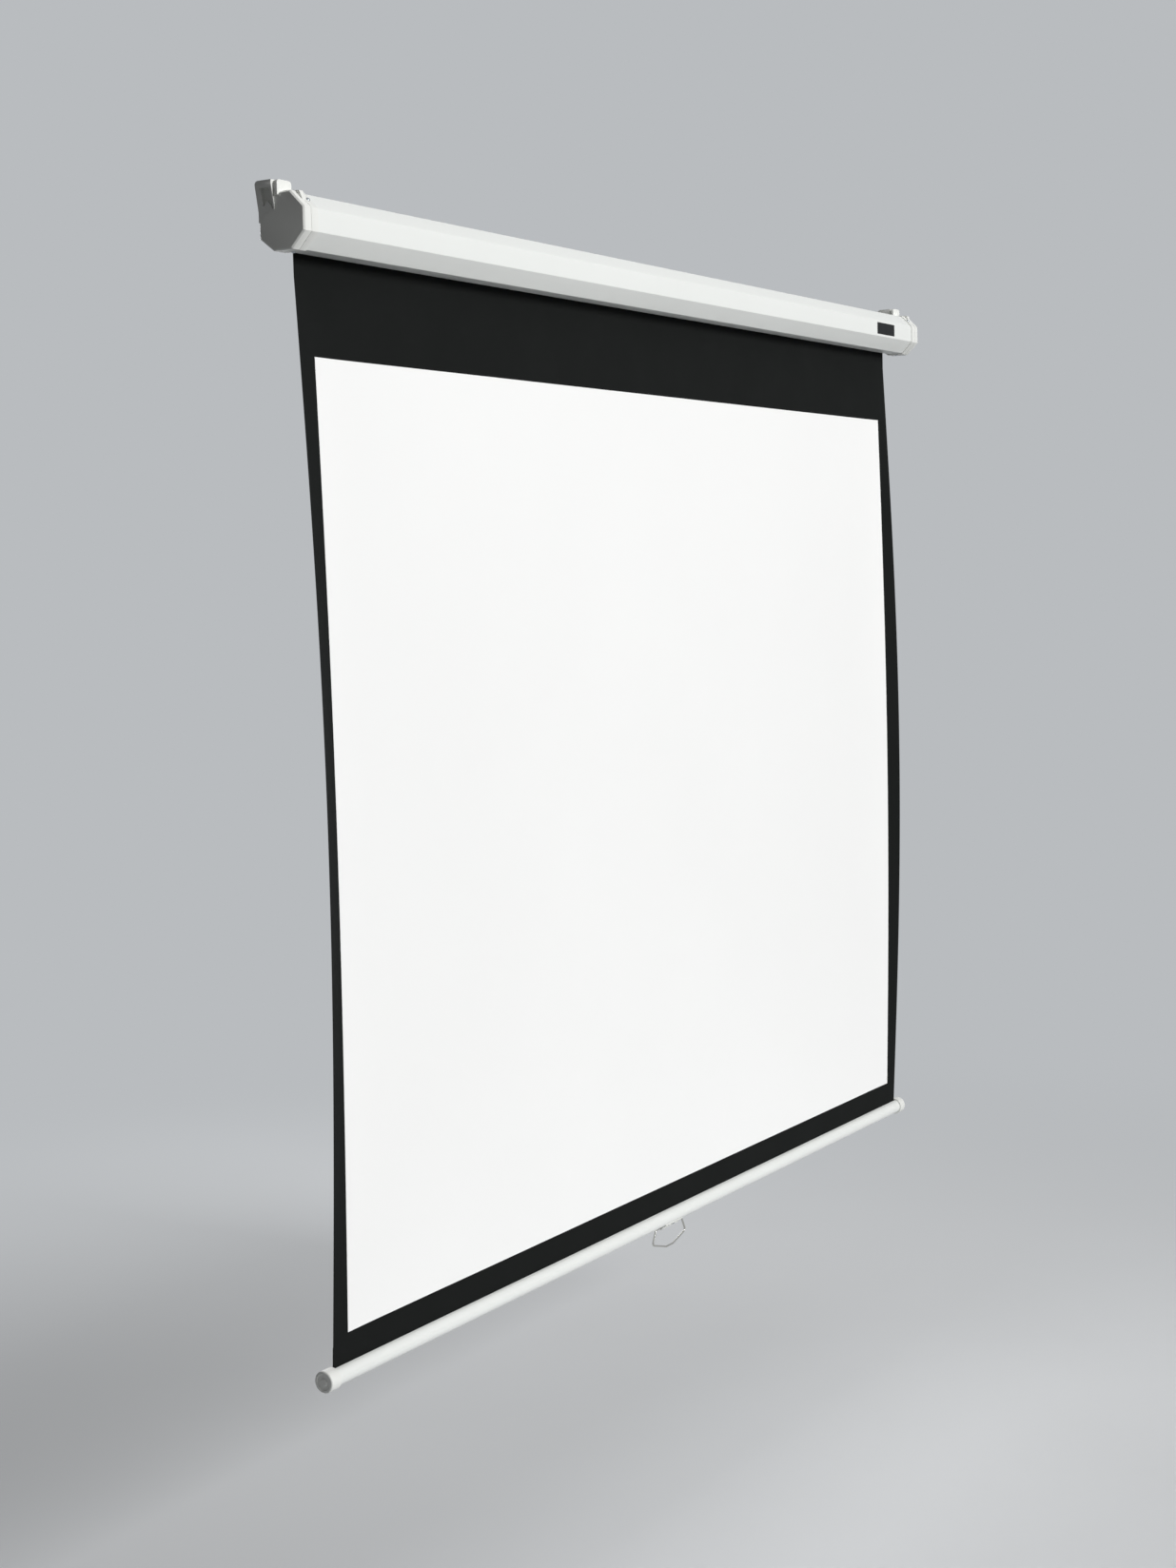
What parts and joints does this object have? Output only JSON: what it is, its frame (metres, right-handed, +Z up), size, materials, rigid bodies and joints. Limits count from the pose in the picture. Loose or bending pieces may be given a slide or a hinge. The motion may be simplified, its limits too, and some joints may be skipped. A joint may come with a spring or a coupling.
{
  "type": "pull down projector screen",
  "caption": "Spring-roller projection screen: octagonal case on hanger end caps, black-bordered white sheet that rolls up, weight bar with a wire pull handle.",
  "frame": {"origin": "on the wall plane behind the end caps, midway between them and level with the roller's axis", "axes": "+X along the case to the viewer's right, +Y into the wall, +Z up"},
  "size_m": [1.871, 0.072, 1.5958],
  "materials": {
    "white_enamel": "white powder coat on rolled steel, satin",
    "white_plastic": "white moulded ABS, fine satin",
    "black_vinyl": "black coated vinyl, matte",
    "white_vinyl": "matte white projection vinyl",
    "zinc_steel": "zinc plated steel",
    "screw_steel": "bright zinc plated screw",
    "pale_nylon": "natural moulded nylon",
    "bright_steel": "nickel plated steel wire",
    "spring_steel": "dark oil tempered spring wire"
  },
  "bodies": {
    "housing": {"case_shell": "white_enamel", "end_cap_left": "white_plastic", "end_cap_right": "white_plastic", "idle_bracket": "zinc_steel", "idle_bush": "pale_nylon", "spear_bracket": "zinc_steel", "spring_shaft": "zinc_steel", "spring_collar": "zinc_steel", "ratchet_wheel": "zinc_steel", "screen_fabric": "black_vinyl", "viewing_surface": "white_vinyl", "cap_screw_left_upper": "screw_steel", "cap_screw_left_lower": "screw_steel", "cap_screw_right_upper": "screw_steel", "cap_screw_right_lower": "screw_steel", "bracket_screw_left_front": "screw_steel", "bracket_screw_left_rear": "screw_steel", "bracket_screw_right_front": "screw_steel", "bracket_screw_right_rear": "screw_steel"},
    "roller": {"roller_tube": "zinc_steel", "fabric_roll": "black_vinyl", "idle_end_plug": "pale_nylon", "drive_end_plug": "pale_nylon", "spring_anchor_plug": "pale_nylon", "torsion_spring": "spring_steel", "pawl_pin_a": "bright_steel", "pawl_pin_b": "bright_steel"},
    "pawl_a": {"pawl_a": "zinc_steel"},
    "pawl_b": {"pawl_b": "zinc_steel"},
    "weight_bar": {"weight_bar_tube": "white_enamel", "hem_rod": "zinc_steel", "sheet_hem": "black_vinyl", "bar_cap_left": "white_plastic", "bar_cap_right": "white_plastic", "handle_clip": "white_plastic", "clip_screw_front": "screw_steel", "clip_screw_rear": "screw_steel"},
    "handle": {"pull_handle": "bright_steel"}
  },
  "joints": [
    {"name": "bar_slide", "type": "slide", "parent": "housing", "child": "weight_bar", "axis": [0, 0, 1], "range_m": [0, 1.441], "deforming": ["screen_fabric", "viewing_surface"]},
    {"name": "roller_spin", "type": "hinge", "parent": "housing", "child": "roller", "pos_m": [0, -0.036, 0], "axis": [1, 0, 0], "range_deg": [0, 3960]},
    {"name": "pawl_a_swing", "type": "hinge", "parent": "roller", "child": "pawl_a", "pos_m": [0.905, -0.02576, 0.008], "axis": [1, 0, 0], "range_deg": [0, 18]},
    {"name": "pawl_b_swing", "type": "hinge", "parent": "roller", "child": "pawl_b", "pos_m": [0.905, -0.04624, -0.008], "axis": [1, 0, 0], "range_deg": [0, 18]},
    {"name": "handle_swing", "type": "hinge", "parent": "weight_bar", "child": "handle", "pos_m": [0, -0.0175, -1.5083], "axis": [1, 0, 0], "range_deg": [-95, 95]}
  ],
  "couplings": [
    {"joint": "roller_spin", "follows": "bar_slide", "rad_per_m": 47.963}
  ]
}
